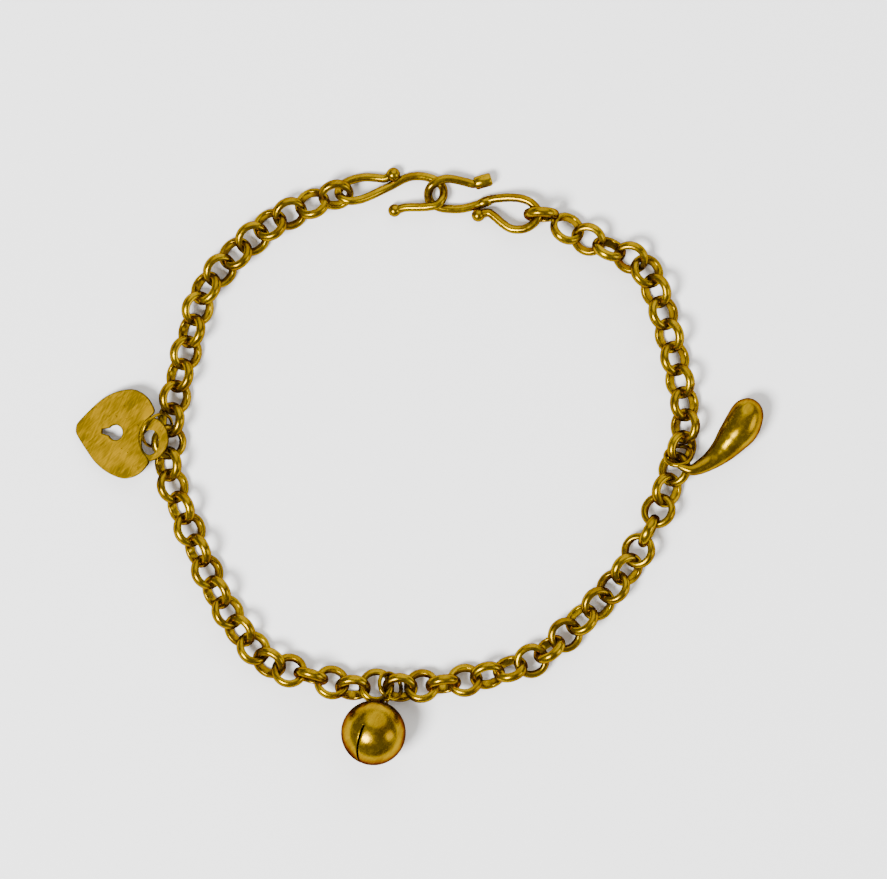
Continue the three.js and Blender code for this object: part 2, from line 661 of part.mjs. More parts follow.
// The drop's round profile is turned about its line, then the line is bent along the curve
function drop() {
  const tail = ringPoint(dropLoopHold, dropLoopDiameter, dropLoopWire, new THREE.Vector3(0, -1, 0));
  const low = dropDiameter / 2;
  const line = dropLine.map((row) => new THREE.Vector3(row.x, row.y, low + row.climb * (tail.z - low)));
  const curve = new THREE.CatmullRomCurve3([...line, tail]);
  const profile = dropRows.map((row) => new THREE.Vector2(row.radius * low, row.along));
  const closed = [new THREE.Vector2(0, 0), ...profile, new THREE.Vector2(0, 1)];
  const turned = new THREE.LatheGeometry(closed, dropSides);
  const frames = curve.computeFrenetFrames(dropStations);
  const spots = turned.attributes.position;
  for (let i = 0; i < spots.count; i += 1) {
    const share = spots.getY(i);
    const spot = curve.getPointAt(share);
    const station = Math.round(share * dropStations);
    spot.addScaledVector(frames.binormals[station], spots.getX(i));
    spot.addScaledVector(frames.normals[station], spots.getZ(i));
    spots.setXYZ(i, spot.x, spot.y, spot.z);
  }
  const body = solid(turned);
  const loop = heldRing(dropLoopHold, dropLoopDiameter, dropLoopWire);
  return body.add(loop);
}

const bracelet = new THREE.Group();
bracelet.add(namedMesh('chain', chain(), gold));
bracelet.add(namedMesh('hook_left', leftHook(), gold));
bracelet.add(namedMesh('hook_right', rightHook(), gold));
bracelet.add(namedMesh('heart_charm', heart(), brushedGold));
bracelet.add(namedMesh('heart_jump_ring', heldRing(heartRingHold, heartRingDiameter, heartRingWire), gold));
bracelet.add(namedMesh('bell_charm', bell(), gold));
bracelet.add(namedMesh('bell_jump_ring', heldRing(bellRingHold, bellRingDiameter, bellRingWire), gold));
bracelet.add(namedMesh('drop_charm', drop(), gold));

// The origin is the middle of the whole bracelet's underside
const box = new THREE.Box3().setFromObject(bracelet);
const origin = box.getCenter(new THREE.Vector3()).setZ(box.min.z);
bracelet.children.forEach((mesh) => mesh.geometry.translate(-origin.x, -origin.y, -origin.z));

export default bracelet;
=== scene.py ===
# %% [markdown]
# # A gold charm bracelet
# The real piece is a belcher chain, whose round links are bent from half round wire, closed by
# two S hooks that catch in one another. A heart, a jingle bell and a curved drop hang from it.
# Every piece here is a surface worked out with numpy on a grid of two parameters and then put
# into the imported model's frame.

import bmesh
import bpy
import numpy as np
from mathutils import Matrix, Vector
from mathutils.geometry import delaunay_2d_cdt


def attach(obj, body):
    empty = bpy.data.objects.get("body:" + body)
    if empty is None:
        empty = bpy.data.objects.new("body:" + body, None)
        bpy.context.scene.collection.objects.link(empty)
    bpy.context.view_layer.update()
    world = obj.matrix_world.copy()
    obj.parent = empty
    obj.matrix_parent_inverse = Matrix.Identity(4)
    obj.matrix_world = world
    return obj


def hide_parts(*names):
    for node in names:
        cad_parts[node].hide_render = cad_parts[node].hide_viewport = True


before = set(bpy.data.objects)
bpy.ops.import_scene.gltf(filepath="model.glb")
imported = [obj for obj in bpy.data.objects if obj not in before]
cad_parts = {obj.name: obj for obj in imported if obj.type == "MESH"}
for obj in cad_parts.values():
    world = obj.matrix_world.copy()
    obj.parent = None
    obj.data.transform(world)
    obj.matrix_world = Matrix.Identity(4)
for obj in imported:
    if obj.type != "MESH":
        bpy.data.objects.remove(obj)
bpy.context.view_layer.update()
print("solids in the packed model:", sorted(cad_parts))

# %% [markdown]
# ## Units and the lay-out's origin
# A goldsmith works in millimetres, so the shapes are drawn in millimetres on a sheet whose
# middle is near the middle of the loop. One function moves them into the model's metres.

# %% Millimetres to the model's metres
MM = 0.001
ORIGIN = np.array([-0.042, 0.134, 0.0])  # where the model's origin lies on the sheet, in mm


def to_model(points):
    """Model metres = (sheet millimetres - origin) / 1000."""
    return (np.asarray(points, float) - ORIGIN) * MM


# %% [markdown]
# ## Grids
# A grid of points is m rows of n points. Four neighbours make one face, and a direction that
# closes on itself joins its last row to its first. Rows that shrink to a point close the ends.

# %% Faces of a grid and pieces from grids
WELD = 2e-7  # points nearer than this are merged, in metres


def angles(count):
    """Angle k = 2 pi k / count, once round a circle."""
    return 2 * np.pi * np.arange(count) / count


def unit(vectors):
    """Each vector divided by its length."""
    return vectors / np.linalg.norm(vectors, axis=-1, keepdims=True)


def grid_faces(rows, columns, close_rows=False, close_columns=True):
    """Face (i, j) joins points (i, j), (i+1, j), (i+1, j+1), (i, j+1), and a closed direction
    counts on from its last row to its first."""
    i = np.arange(rows if close_rows else rows - 1)[:, None]
    j = np.arange(columns if close_columns else columns - 1)[None, :]
    i2, j2 = (i + 1) % rows, (j + 1) % columns
    corners = [i * columns + j, i2 * columns + j, i2 * columns + j2, i * columns + j2]
    return np.stack(np.broadcast_arrays(*corners), -1).reshape(-1, 4)


def outward(points, faces):
    """Six times the enclosed volume is the sum of a . (b x c) over the triangles; where it is
    negative the faces are turned round."""
    a, b, c, d = (points[faces[:, k]] for k in range(4))
    volume = np.einsum("ij,ij->", a, np.cross(b, c) + np.cross(c, d))
    return faces if volume > 0 else faces[:, ::-1]


def piece(name, parts, finish, nodes, welded=True):
    """Joins (points, faces) parts into one mesh of the model; points that coincide are merged."""
    starts = np.cumsum([0] + [len(points) for points, _ in parts])
    points = np.concatenate([points for points, _ in parts])
    faces = [face for (_, part), start in zip(parts, starts) for face in (part + start).tolist()]
    mesh = bpy.data.meshes.new(name)
    mesh.from_pydata(to_model(points).tolist(), [], faces)
    if welded:
        work = bmesh.new()
        work.from_mesh(mesh)
        bmesh.ops.remove_doubles(work, verts=work.verts, dist=WELD)
        work.to_mesh(mesh)
        work.free()
    mesh.shade_smooth()
    mesh.materials.append(finish)
    made = bpy.data.objects.new(name, mesh)
    bpy.context.scene.collection.objects.link(made)
    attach(made, "root")
    for node in nodes:
        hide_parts(node)
    print(name, len(mesh.vertices), "points", len(mesh.polygons), "faces")
    return made


# %% [markdown]
# ## Gold
# Worn gold is one metal with many small differences: soft scratches and patches of darker and
# brighter tone. A material node tree mixes them from noise in object coordinates, so they stay
# on the metal from every side. Colour goes through noise; metalness is a plain socket value.

# %% Sizes of the wear, as noise per metre
WEAR_PATCHES = 420
SCRATCHES, SCRATCH_STRETCH, SCRATCH_ANGLE = 520, (1, 18, 1), 40
CROSS_SCRATCHES, CROSS_STRETCH, CROSS_ANGLE = 430, (14, 1, 1), -25
SCRATCH_DEPTH = 0.00002
NOISE_LOW, NOISE_HIGH = 0.3, 0.7  # nearly all of the noise lies between these
SMOOTHER, ROUGHER = 0.7, 1.4


# %% A worn gold finish
def gold(name, deep, bright, rim, roughness, scratch, grain):
    """Scratches = one stretched noise less another. Colour runs from deep to bright with the
    wear patches plus scratch times the scratches, bump takes its height from the scratches, and
    roughness runs with a fine noise between two multiples of its mean."""
    material = bpy.data.materials.new(name)
    material.use_nodes = True
    nodes, links = material.node_tree.nodes, material.node_tree.links
    shader = nodes["Principled BSDF"]
    shader.inputs["Metallic"].default_value = 1.0
    shader.inputs["Specular Tint"].default_value = (*rim, 1)
    where = nodes.new("ShaderNodeTexCoord").outputs["Object"]

    def noise(scale, detail, stretch=(1, 1, 1), turn=0.0):
        """Noise at scale times (the place turned back by an angle, then times the stretch)."""
        mapping = nodes.new("ShaderNodeMapping")
        mapping.vector_type = "TEXTURE"
        mapping.inputs["Scale"].default_value = [1 / times for times in stretch]
        mapping.inputs["Rotation"].default_value = (0, 0, np.radians(turn))
        links.new(where, mapping.inputs["Vector"])
        made = nodes.new("ShaderNodeTexNoise")
        made.inputs["Scale"].default_value = scale
        made.inputs["Detail"].default_value = detail
        links.new(mapping.outputs["Vector"], made.inputs["Vector"])
        return made.outputs["Fac"]

    ramp = nodes.new("ShaderNodeValToRGB")
    ramp.color_ramp.elements[0].position = NOISE_LOW
    ramp.color_ramp.elements[1].position = NOISE_HIGH
    ramp.color_ramp.elements[0].color = (*deep, 1)
    ramp.color_ramp.elements[1].color = (*bright, 1)
    links.new(ramp.outputs["Color"], shader.inputs["Base Color"])

    spread = nodes.new("ShaderNodeMapRange")
    spread.inputs["From Min"].default_value = NOISE_LOW
    spread.inputs["From Max"].default_value = NOISE_HIGH
    spread.inputs["To Min"].default_value = roughness * SMOOTHER
    spread.inputs["To Max"].default_value = roughness * ROUGHER
    links.new(noise(grain, 6), spread.inputs["Value"])
    links.new(spread.outputs["Result"], shader.inputs["Roughness"])

    scratches = nodes.new("ShaderNodeMath")
    scratches.operation = "SUBTRACT"
    links.new(noise(SCRATCHES, 4, SCRATCH_STRETCH, SCRATCH_ANGLE), scratches.inputs[0])
    links.new(noise(CROSS_SCRATCHES, 4, CROSS_STRETCH, CROSS_ANGLE), scratches.inputs[1])
    streaked = nodes.new("ShaderNodeMath")
    streaked.operation = "MULTIPLY_ADD"
    streaked.inputs[1].default_value = scratch
    links.new(scratches.outputs["Value"], streaked.inputs[0])
    links.new(noise(WEAR_PATCHES, 7), streaked.inputs[2])
    links.new(streaked.outputs["Value"], ramp.inputs["Fac"])
    bump = nodes.new("ShaderNodeBump")
    bump.inputs["Strength"].default_value = scratch
    bump.inputs["Distance"].default_value = SCRATCH_DEPTH
    links.new(scratches.outputs["Value"], bump.inputs["Height"])
    links.new(bump.outputs["Normal"], shader.inputs["Normal"])
    return material


polished = gold("polished_gold", (0.15, 0.078, 0.0005), (0.31, 0.195, 0.001), (0.13, 0.085, 0.02),
                0.24, 0.3, 1800)
satin = gold("satin_gold", (0.06, 0.037, 0.0001), (0.165, 0.094, 0.0002), (0.1, 0.06, 0.01),
             0.38, 0.7, 2400)

# %% [markdown]
# ## The chain's lie
# The chain is one long row of rings. Where each ring lies was read off the photograph as a few
# chosen points, and a smooth cubic runs through them. Rings lean by turns, one with its outer
# side raised, the next with its inner side, as a belcher chain does when it is laid down.

# %% Sizes of the links
LINK = 4.05
LINK_THICK = 0.75
LINK_WIDE = 1.12
LINKS = 63
SAG = 0.3
SHOULDER = 0.62
SHOULDER_WIDE = 0.84
link_outer = LINK / 2
link_inner = link_outer - LINK_THICK

# %% Sizes of the hooks
HOOK_WIRE = 0.96
HOOK_WIDE = 4.0
LEFT_LENGTH, LEFT_ANGLE = 11.81, 179.7
RIGHT_LENGTH, RIGHT_ANGLE = 12.64, -10.5
CLASP = np.array([1.83, 30.69, 0.0])
BEND_OVERLAP = 0.88
CROSSING_GAP = 0.09
THREAD_GAP = 0.46

# %% The chain's way round: link, x, y
route_rows = np.array([
    (3, -14.6, 28.5), (5, -18.8, 25.7), (8, -24.0, 20.1), (10, -25.6, 15.3), (13, -27.5, 7.8),
    (15, -28.2, 2.8), (16.5, -28.1, -0.9), (18, -26.8, -4.6), (20, -24.9, -9.4),
    (22, -22.8, -14.1), (24, -20.2, -18.4), (26, -16.9, -22.0), (28, -12.2, -23.5),
    (30, -7.5, -24.8), (31, -4.85, -24.65), (32, -2.2, -24.8), (35, 5.1, -24.0), (38, 12.6, -21.8),
    (40, 16.4, -18.9), (43, 21.8, -13.5), (45, 24.6, -9.4), (48, 27.8, -2.6), (51, 29.9, 4.6),
    (54, 28.7, 12.2), (57, 26.6, 19.8), (58.5, 24.8, 22.9), (60, 21.3, 24.5), (62, 16.6, 26.8),
])

# %% How the links lean: link, outer side raised, inner side raised, in degrees
lean_rows = np.array([
    (1, 42, 40), (4, 28, 36), (6, 28, 36), (9, 35, 50), (13, 34, 47), (15, 15, 47),
    (17, 36, 48), (20, 33, 55), (24, 38, 43), (26, 26, 42), (28, 20, 78), (30, 30, 52),
    (31, 12, 47), (32, 34, 42), (34, 18, 68), (36, 40, 46), (38, 70, 15), (40, 56, 17),
    (42, 36, 30), (44, 28, 40), (46, 18, 84), (48, 28, 40), (51, 44, 43), (56, 45, 40), (58, 40, 34),
    (60, 25, 60), (61, 32, 50), (63, 80, 24),
])


# %% Where the hooks lie
def hook_axes(length, angle, eye):
    """Along is the hook's heading in plan, across is square to it on the far side of the clasp."""
    along = np.array([np.cos(np.radians(angle)), np.sin(np.radians(angle)), 0.0])
    across = np.array([-along[1], along[0], 0.0])
    across = across if across[1] > 0 else -across
    bend = CLASP - BEND_OVERLAP * along
    middle = bend + eye[0] * length * along + eye[1] * HOOK_WIDE * across
    return {"length": length, "along": along, "across": across, "bend": bend, "middle": middle}


left_axes = hook_axes(LEFT_LENGTH, LEFT_ANGLE, (0.75, 0.15))
right_axes = hook_axes(RIGHT_LENGTH, RIGHT_ANGLE, (0.8, -0.14))


def end_link(axes, neighbour):
    """The end link's middle: from the eye's far point towards the next link of the route."""
    eye = axes["bend"] + axes["length"] * axes["along"]
    away = unit(np.array([*neighbour, 0.0]) - eye)
    return eye + (link_inner - HOOK_WIRE / 2 - THREAD_GAP) * away


first, last = end_link(left_axes, route_rows[0, 1:]), end_link(right_axes, route_rows[-1, 1:])
route = np.vstack([(1, first[0], first[1]), route_rows, (LINKS, last[0], last[1])])


# %% Place every link
def smooth_through(rows, at):
    """A cubic between neighbouring rows, whose slope at each row is that from the row before it
    to the row after it."""
    t, v = rows[:, 0], rows[:, 1:]
    row = np.arange(len(t))
    before, after = np.clip(row - 1, 0, None), np.clip(row + 1, None, len(t) - 1)
    slope = (v[after] - v[before]) / (t[after] - t[before])[:, None]
    i = np.clip(np.searchsorted(t, at, side="right") - 1, 0, len(t) - 2)
    span = (t[i + 1] - t[i])[:, None]
    u = ((at - t[i]) / (t[i + 1] - t[i]))[:, None]
    return (
        (2 * u**3 - 3 * u**2 + 1) * v[i]
        + (u**3 - 2 * u**2 + u) * span * slope[i]
        + (3 * u**2 - 2 * u**3) * v[i + 1]
        + (u**3 - u**2) * span * slope[i + 1]
    )


def place_links():
    """Height of a link = the most that its own lean or a leaning neighbour's asks for, less the
    sag per link. Axes: along the chain, across it turned up by the lean, and the ring's axis."""
    number = np.arange(1, LINKS + 1)
    plan = smooth_through(route, number.astype(float))
    odd = number % 2 == 1
    outer_raised = np.interp(number, lean_rows[:, 0], lean_rows[:, 1])
    inner_raised = np.interp(number, lean_rows[:, 0], lean_rows[:, 2])
    lean = np.radians(np.where(odd, outer_raised, inner_raised))
    shoulder = link_inner + SHOULDER * LINK_THICK
    rest = np.max([
        link_outer * np.sin(lean),
        shoulder * np.sin(lean) + SHOULDER_WIDE * LINK_WIDE / 2 * np.cos(lean),
        link_inner * np.sin(lean) + LINK_WIDE / 2 * np.cos(lean),
    ], axis=0)
    height = np.max(rest[None, :] - SAG * np.abs(number[:, None] - number[None, :]), axis=1)
    middle = np.column_stack([plan, height])
    along = np.zeros_like(middle)
    along[1:-1] = middle[2:] - middle[:-2]
    along[0, :2] = middle[0, :2] - left_axes["middle"][:2]
    along[-1, :2] = right_axes["middle"][:2] - middle[-1, :2]
    along = unit(along)
    out = unit(np.cross(along, [0, 0, 1]))
    rise = np.cross(out, along)
    side = np.where(odd, 1, -1)
    across = out * np.cos(lean)[:, None] + rise * (side * np.sin(lean))[:, None]
    return middle, along, across, np.cross(along, across)


middles, alongs, acrosses, axes_up = place_links()
print("links placed:", len(middles), "highest middle", round(float(middles[:, 2].max()), 2), "mm")


def in_link(number, along, across, normal):
    """A place given in a link's own axes, from its middle."""
    i = number - 1
    return middles[i] + along * alongs[i] + across * acrosses[i] + normal * axes_up[i]


def heading_in_link(number, along, across, normal):
    """A heading given in a link's own axes."""
    return unit(in_link(number, along, across, normal) - middles[number - 1])


# %% [markdown]
# ## One link and the whole chain
# Half round wire has a flat face inside the ring and a crowned face outside. The section is a
# flattened oval: its inner half is squared off by a power, its outer half is left round. It is
# turned about the ring's axis, and the same grid is set at every place at once.

# %% Half round section turned into a ring
LINK_TURNS = 56
LINK_SECTION = 20
INNER_HEIGHT = 0.34  # where the section's inner and outer halves meet, in shares of the wire
INNER_SQUARE, INNER_FLAT, OUTER_CROWN = 0.45, 0.4, 0.9


def half_round(count):
    """Section point at angle a: width = half width x sign(sin a)|sin a|^p, height = a crown of
    |cos a|^q, where p and q square off the inner side and keep the outer side round."""
    c, s = np.cos(angles(count)), np.sin(angles(count))
    outer = c > 0
    wide = np.sign(s) * np.abs(s) ** np.where(outer, 1.0, INNER_SQUARE) * LINK_WIDE / 2
    low = link_inner + INNER_HEIGHT * LINK_THICK
    crown = (link_outer - low) * np.abs(c) ** OUTER_CROWN
    flat = -(low - link_inner) * np.abs(c) ** INNER_FLAT
    return low + np.where(outer, crown, flat), wide


def ring_of_wire(section, turns):
    """Point = radius (cos t, sin t) in the ring's plane, with the width along its axis."""
    radius, wide = section
    t = angles(turns)[:, None]
    shape = np.broadcast_arrays(radius * np.cos(t), radius * np.sin(t), wide + 0 * t)
    return np.stack(shape, -1).reshape(-1, 3)


link_points = ring_of_wire(half_round(LINK_SECTION), LINK_TURNS)
link_faces = outward(link_points, grid_faces(LINK_TURNS, LINK_SECTION, close_rows=True))
all_axes = np.stack([alongs, acrosses, axes_up], 1)
chain_points = np.einsum("pk,lkc->lpc", link_points, all_axes) + middles[:, None, :]
chain_faces = link_faces[None] + len(link_points) * np.arange(LINKS)[:, None, None]
piece("chain_links", [(chain_points.reshape(-1, 3), chain_faces.reshape(-1, 4))], polished,
      ["chain"], welded=False)

# %% [markdown]
# ## Round wire along a path
# Hooks, rings and the drop are wire: a circle carried along a line. At every step the circle is
# set square to the line, with its second axis kept as upright as the line allows.

# %% Carry a circle along a path
CAP_STEPS = 6


def spline(points, count):
    """Cubic through the points, timed by the straight distance between them."""
    points = np.asarray(points, float)
    gaps = np.linalg.norm(np.diff(points, axis=0), axis=1)
    rows = np.column_stack([np.concatenate([[0], np.cumsum(gaps)]), points])
    return smooth_through(rows, np.linspace(0, rows[-1, 0], count))


def wire(path, radius, around=16, rounded=True):
    """Point = path + radius (cos a . side + sin a . lift); a rounded end shrinks the circle over
    one radius as the root of 1 - u squared."""
    path = np.asarray(path, float)
    radius = np.broadcast_to(np.asarray(radius, float), (len(path),)).copy()
    heading = unit(np.gradient(path, axis=0))
    if rounded:
        u = np.sin(np.linspace(0, np.pi / 2, CAP_STEPS + 1))[1:]
        start = path[0] - heading[0] * radius[0] * u[::-1, None]
        end = path[-1] + heading[-1] * radius[-1] * u[:, None]
        fade = np.sqrt(np.clip(1 - u**2, 0, 1))
        radius = np.concatenate([radius[0] * fade[::-1], radius, radius[-1] * fade])
        path = np.vstack([start, path, end])
        first, last = (np.repeat(one[None], CAP_STEPS, 0) for one in (heading[0], heading[-1]))
        heading = np.vstack([first, heading, last])
    side = unit(np.cross(heading, [0, 0, 1]))
    lift = np.cross(side, heading)
    a = angles(around)[None, :, None]
    rim = np.cos(a) * side[:, None] + np.sin(a) * lift[:, None]
    points = (path[:, None] + radius[:, None, None] * rim).reshape(-1, 3)
    return points, outward(points, grid_faces(len(path), around))


def ball(diameter, middle, rings=20, around=28):
    """Point = middle + radius (cos up cos m, cos up sin m, sin up)."""
    up = np.linspace(-np.pi / 2, np.pi / 2, rings)[:, None]
    m = angles(around)[None, :]
    shape = [np.cos(up) * np.cos(m), np.cos(up) * np.sin(m), np.sin(up) + 0 * m]
    points = np.stack(np.broadcast_arrays(*shape), -1).reshape(-1, 3) * diameter / 2 + middle
    return points, outward(points - middle, grid_faces(rings, around))


# %% [markdown]
# ## The S hooks
# Each hook is one wire, bent into an eye at one end and an open bend at the other, and the two
# bends pass over and under one another. Rows of a table give the wire's way in shares of the
# hook's length and width, so the same rows serve a hook of another size.

# %% The left hook's way: along, across, lift over the other hook, lift to the end link
left_rows = np.array([
    (0.467, -0.46, 0.3, 0), (0.367, -0.38, 0.45, 0), (0.214, -0.37, 0.75, 0),
    (0.129, -0.35, 0.93, 0), (0.062, -0.3, 1, 0), (0.019, -0.17, 0.9, 0), (0.0, 0.0, 0.45, 0),
    (0.01, 0.2, 0.08, 0), (0.052, 0.35, 0, 0), (0.119, 0.45, 0, 0), (0.214, 0.51, 0, 0),
    (0.319, 0.49, 0, 0), (0.414, 0.38, 0, 0), (0.49, 0.25, 0, 0.05), (0.586, 0.11, 0, 0.3),
    (0.7, -0.06, 0, 0.8), (0.795, -0.17, 0, 1.3), (0.89, -0.21, 0, 1.66),
    (0.966, -0.13, 0, 1.5), (1.0, 0.01, 0, 0.96), (0.992, 0.14, 0, 0.45), (0.95, 0.28, 0, 0.12),
    (0.871, 0.4, 0, 0.02), (0.757, 0.47, 0, 0), (0.652, 0.46, 0, 0.02), (0.56, 0.44, 0, 0.12),
    (0.481, 0.55, 0, 0.3),
])

# %% The right hook's way
right_rows = np.array([
    (0.463, 0.6, 0.5, 0), (0.388, 0.48, 0.5, 0), (0.306, 0.49, 0.6, 0), (0.201, 0.5, 0.82, 0),
    (0.126, 0.47, 0.96, 0), (0.069, 0.37, 1, 0), (0.016, 0.2, 0.9, 0), (0.0, 0.0, 0.45, 0),
    (0.019, -0.18, 0.08, 0), (0.057, -0.28, 0, 0), (0.12, -0.34, 0, 0), (0.192, -0.34, 0, 0),
    (0.315, -0.27, 0, 0), (0.431, -0.11, 0, 0.04), (0.513, 0.04, 0, 0.15), (0.57, 0.15, 0, 0.26),
    (0.639, 0.22, 0, 0.4), (0.734, 0.29, 0, 0.6), (0.832, 0.31, 0, 0.78), (0.908, 0.26, 0, 0.9),
    (0.97, 0.13, 0, 0.98), (1.0, 0.0, 0, 1), (0.996, -0.18, 0, 1), (0.962, -0.36, 0, 0.96),
    (0.907, -0.5, 0, 0.88), (0.829, -0.57, 0, 0.76), (0.766, -0.56, 0, 0.66),
    (0.696, -0.46, 0, 0.54), (0.615, -0.31, 0, 0.4), (0.556, -0.24, 0, 0.3),
    (0.475, -0.36, 0, 0.25),
])
EYE_DROP = 0.05


def hook_way(axes, rows, eye_rise):
    """Place = bend + along and across shares; height = wire radius + crossing + eye lifts."""
    low = HOOK_WIRE / 2
    along = rows[:, :1] * axes["length"] * axes["along"]
    place = axes["bend"] + along + rows[:, 1:2] * HOOK_WIDE * axes["across"]
    place[:, 2] = low + rows[:, 2] * (HOOK_WIRE + CROSSING_GAP) + rows[:, 3] * eye_rise
    return place


left_way = hook_way(left_axes, left_rows, middles[0, 2] - HOOK_WIRE / 2)
right_way = hook_way(right_axes, right_rows, middles[-1, 2] - HOOK_WIRE / 2 - EYE_DROP)


def seated(place, diameter):
    """A knob's middle, lifted where it would sink into the table."""
    return np.array([place[0], place[1], max(place[2], diameter / 2)])


# %% Left hook with its two knobs
KNOB, EYE_KNOB = 1.45, 1.6
piece("left_hook", [
    wire(spline(left_way, 220), HOOK_WIRE / 2),
    ball(KNOB, seated(left_way[0], KNOB)),
    ball(EYE_KNOB, seated(left_way[-1], EYE_KNOB)),
], polished, ["hook_left"])

# %% Right hook with its faceted block, collar and curl
BLOCK_LONG, BLOCK = 1.95, 1.6
COLLAR_LONG, COLLAR = 1.3, 1.2
CURL = 1.5


def faceted(diameter, length, middle, heading, sides=8):
    """A prism whose sides step in from 1 to 0.82 of its radius over a tenth of its length at
    each end."""
    heading = unit(np.array([heading[0], heading[1], 0.0]))
    side = np.array([-heading[1], heading[0], 0.0])
    a = angles(sides) + np.pi / sides
    steps = np.array([[-0.5, 0], [-0.5, 0.82], [-0.4, 1], [0.4, 1], [0.5, 0.82], [0.5, 0]])
    turn = np.cos(a)[:, None] * side + np.sin(a)[:, None] * np.array([0, 0, 1.0])
    points = (middle + steps[:, 0, None, None] * length * heading
              + steps[:, 1, None, None] * diameter / 2 * turn[None])
    points = points.reshape(-1, 3)
    return points, outward(points - middle, grid_faces(len(steps), sides))


neck = int(np.argmax(right_rows[:, 3] > 0)) + 1
neck_heading = right_way[neck + 1] - right_way[neck - 1]
piece("right_hook", [
    wire(spline(right_way, 240), HOOK_WIRE / 2),
    faceted(BLOCK, BLOCK_LONG, seated(right_way[0], BLOCK), right_way[0] - right_way[1]),
    faceted(COLLAR, COLLAR_LONG, seated(right_way[neck], COLLAR), neck_heading),
    ball(CURL, seated(right_way[-1], CURL)),
], polished, ["hook_right"])

# %% [markdown]
# ## Jump rings
# A jump ring is a circle of round wire. Each is placed in the axes of the link that it is
# threaded on, so it passes through the link's hole and through its charm's loop.

# %% Jump rings
HEART_RING, HEART_RING_WIRE = 4.3, 0.34
BELL_RING, BELL_RING_WIRE = 3.46, 0.46


def circle(diameter, middle, axis, count):
    """Point = middle + radius (cos t . first + sin t . second), both square to the axis."""
    first = unit(np.cross(axis, [0, 0, 1.0]))
    second = np.cross(axis, first)
    t = angles(count)[:, None]
    return middle + diameter / 2 * (np.cos(t) * first + np.sin(t) * second)


def torus(diameter, thick, middle, axis, around=16, count=96):
    """A ring of round wire: the wire's circle turned about the ring's axis."""
    axis = unit(np.asarray(axis, float))
    path = circle(diameter - thick, middle, axis, count)
    spoke = unit(path - middle)
    a = angles(around)[None, :, None]
    points = path[:, None] + thick / 2 * (np.cos(a) * spoke[:, None] + np.sin(a) * axis)
    points = points.reshape(-1, 3)
    return points, outward(points, grid_faces(count, around, close_rows=True))


heart_ring_middle = in_link(14, 1.363, 0.853, -1.073)
heart_ring_axis = heading_in_link(14, 0.32, -0.947, 0.006)
bell_ring_middle = in_link(32, -1.04, -0.66, -0.42)
bell_ring_axis = heading_in_link(32, 0.63, -0.71, -0.32)
piece("heart_ring", [torus(HEART_RING, HEART_RING_WIRE, heart_ring_middle, heart_ring_axis)],
      polished, ["heart_jump_ring"], welded=False)
piece("bell_ring", [torus(BELL_RING, BELL_RING_WIRE, bell_ring_middle, bell_ring_axis)],
      polished, ["bell_jump_ring"], welded=False)

# %% [markdown]
# ## The heart
# The heart is a flat plate, sawn out and pierced with a keyhole, with a thinner tab that holds
# its ring. Its faces are filled between outlines, and each outline carries a rounded edge.

# %% Sizes and outlines of the heart
HEART_LONG, HEART_WIDE, HEART_THICK = 8.9, 10.1, 0.5
NOTCH = 1.4
KEYHOLE_AT, KEYHOLE, KEYHOLE_REACH, KEYHOLE_END = 4.65, 1.7, 1.6, 0.5
TAB_REACH, TAB, TAB_THICK, TAB_OFF = 2.0, 5.1, 0.36, 0.32
TAB_HOLE_BACK, TAB_HOLE_LONG, TAB_HOLE_WIDE, TAB_HOLE_OFF = 2.1, 2.8, 2.05, 0.66
TAB_AT = HEART_LONG + TAB_REACH - TAB / 2
TAB_HOLE_AT = HEART_LONG + TAB_REACH - TAB_HOLE_BACK
RING_PAST_HOLE = (0.55, 1.44)
REST_GAP = 0.09
PLATE_EDGE, TAB_EDGE, TAB_SUNK = 0.1, 0.08, 0.01
HEART_ANGLE = -6.3

side_rows = np.array([
    (0.0, 0.08), (0.03, 0.17), (0.14, 0.41), (0.3, 0.71), (0.47, 0.9), (0.67, 1.0), (0.79, 0.96),
    (0.88, 0.87), (0.95, 0.74), (1.0, 0.55),
])
notch_rows = np.array([(0.62, 0.34), (0.9, 0.18), (1.0, 0.0)])


def loop_of(points, count):
    """A closed smooth outline of evenly spaced points through the given ones."""
    points = np.asarray(points, float)
    ring = np.vstack([points[-3:], points, points[:4]])
    gaps = np.linalg.norm(np.diff(ring, axis=0), axis=1)
    rows = np.column_stack([np.concatenate([[0], np.cumsum(gaps)]), ring])
    first, last = rows[3, 0], rows[3 + len(points), 0]
    return smooth_through(rows, np.linspace(first, last, count, endpoint=False))


upper = np.vstack([
    side_rows * [HEART_LONG, HEART_WIDE / 2],
    np.column_stack([HEART_LONG - notch_rows[:, 0] * NOTCH, notch_rows[:, 1] * HEART_WIDE / 2]),
])
heart_outline = loop_of(np.vstack([upper, (upper * [1, -1])[-2::-1]]), 180)

turn = angles(72)
tab_outline = np.column_stack([TAB_AT + TAB / 2 * np.cos(turn), -TAB_OFF + TAB / 2 * np.sin(turn)])
tab_hole = np.column_stack([
    TAB_HOLE_AT + TAB_HOLE_WIDE / 2 * np.cos(turn),
    -TAB_HOLE_OFF + TAB_HOLE_LONG / 2 * np.sin(turn),
])
bow = np.radians(np.linspace(150, -150, 40))
keyhole = np.vstack([
    np.column_stack([KEYHOLE_AT + KEYHOLE / 2 * np.cos(bow), KEYHOLE / 2 * np.sin(bow)]),
    [(KEYHOLE_AT - KEYHOLE_REACH, -KEYHOLE_END / 2), (KEYHOLE_AT - KEYHOLE_REACH, KEYHOLE_END / 2)],
])


